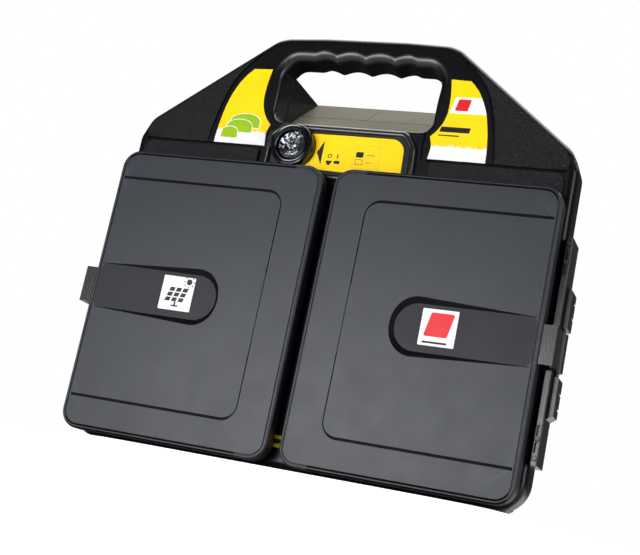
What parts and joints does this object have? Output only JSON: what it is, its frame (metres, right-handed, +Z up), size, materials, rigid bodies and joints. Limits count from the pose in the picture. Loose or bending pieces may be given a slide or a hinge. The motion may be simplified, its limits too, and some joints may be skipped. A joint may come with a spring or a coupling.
{
  "type": "electric fence energizer",
  "caption": "Portable solar electric fence energizer: A-shaped case with carrying handle, fold-out solar wings over the front, push button and rear battery door.",
  "frame": {"origin": "centre of the overall box on the surface the case stands on", "axes": "+Z up, -Y towards the viewer facing the wings, +X to that viewer's right, along the pivot line from wing to wing"},
  "size_m": [0.45, 0.14, 0.405],
  "materials": {
    "case_black": "fine leather-grain moulding, satin",
    "wing_black": "fine leather-grain moulding, satin",
    "gloss_black": "polished",
    "rubber_black": "matt",
    "label_yellow": "printed vinyl, satin",
    "label_white": "printed vinyl, satin",
    "clear_plastic": "clear, polished",
    "solar_blue": "laminated solar cells, glossy",
    "steel": "zinc plated",
    "brass": "turned",
    "board_green": "solder mask",
    "battery_grey": "moulded",
    "red_plastic": "moulded",
    "green_plastic": "moulded"
  },
  "bodies": {
    "case": {"battery": "battery_grey", "battery_strap": "rubber_black", "battery_tray": "case_black", "button_collar": "gloss_black", "button_seal": "rubber_black", "case_gasket": "rubber_black", "case_screw_1": "steel", "case_screw_2": "steel", "case_screw_3": "steel", "case_screw_4": "steel", "charge_regulator": "steel", "circuit_board": "board_green", "console_plate": "case_black", "control_label": "label_yellow", "door_hinge_rod": "steel", "door_seal": "rubber_black", "earth_terminal_stud": "brass", "fence_terminal_stud": "brass", "front_label": "label_yellow", "front_shell": "case_black", "indicator_lamp": "red_plastic", "left_bracket_screw_1": "steel", "left_bracket_screw_2": "steel", "left_bracket_screw_3": "steel", "left_bracket_screw_4": "steel", "left_hinge_bracket": "case_black", "left_hinge_pin": "steel", "left_side_label": "label_yellow", "negative_lead": "rubber_black", "output_lead": "red_plastic", "positive_lead": "red_plastic", "pulse_transformer": "battery_grey", "push_switch": "case_black", "rear_housing": "case_black", "right_bracket_screw_1": "steel", "right_bracket_screw_2": "steel", "right_bracket_screw_3": "steel", "right_bracket_screw_4": "steel", "right_hinge_bracket": "case_black", "right_hinge_pin": "steel", "right_side_label": "label_yellow", "storage_capacitor": "board_green"},
    "left_wing": {"left_wing_cover": "wing_black", "left_wing_hinge_arm": "wing_black", "left_wing_label": "label_white", "left_wing_panel_frame": "wing_black", "left_wing_solar_panel": "solar_blue"},
    "right_wing": {"right_wing_cover": "wing_black", "right_wing_hinge_arm": "wing_black", "right_wing_label": "label_white", "right_wing_panel_frame": "wing_black", "right_wing_solar_panel": "solar_blue"},
    "button": {"push_button": "clear_plastic"},
    "door": {"battery_door": "case_black"},
    "fence_knob": {"fence_terminal_knob": "red_plastic"},
    "earth_knob": {"earth_terminal_knob": "green_plastic"}
  },
  "joints": [
    {"name": "left_wing_hinge", "type": "hinge", "parent": "case", "child": "left_wing", "pos_m": [-0.22, -0.035, 0.136], "axis": [0, 0, -1], "range_deg": [0, 180]},
    {"name": "right_wing_hinge", "type": "hinge", "parent": "case", "child": "right_wing", "pos_m": [0.22, -0.035, 0.136], "axis": [0, 0, 1], "range_deg": [0, 180]},
    {"name": "push_button_press", "type": "slide", "parent": "case", "child": "button", "axis": [0, 1, 0], "range_m": [0, 0.0025], "stiffness_N_per_m": 400, "springref_m": -0.001},
    {"name": "battery_door_hinge", "type": "hinge", "parent": "case", "child": "door", "pos_m": [0, 0.0674, 0.0165], "axis": [-1, 0, 0], "range_deg": [0, 90]},
    {"name": "fence_knob_turn", "type": "hinge", "parent": "case", "child": "fence_knob", "pos_m": [-0.1905, 0.025, 0.235], "axis": [-1, 0, 0], "range_deg": [0, 720]},
    {"name": "earth_knob_turn", "type": "hinge", "parent": "case", "child": "earth_knob", "pos_m": [-0.1905, 0.025, 0.19], "axis": [-1, 0, 0], "range_deg": [0, 720]}
  ]
}
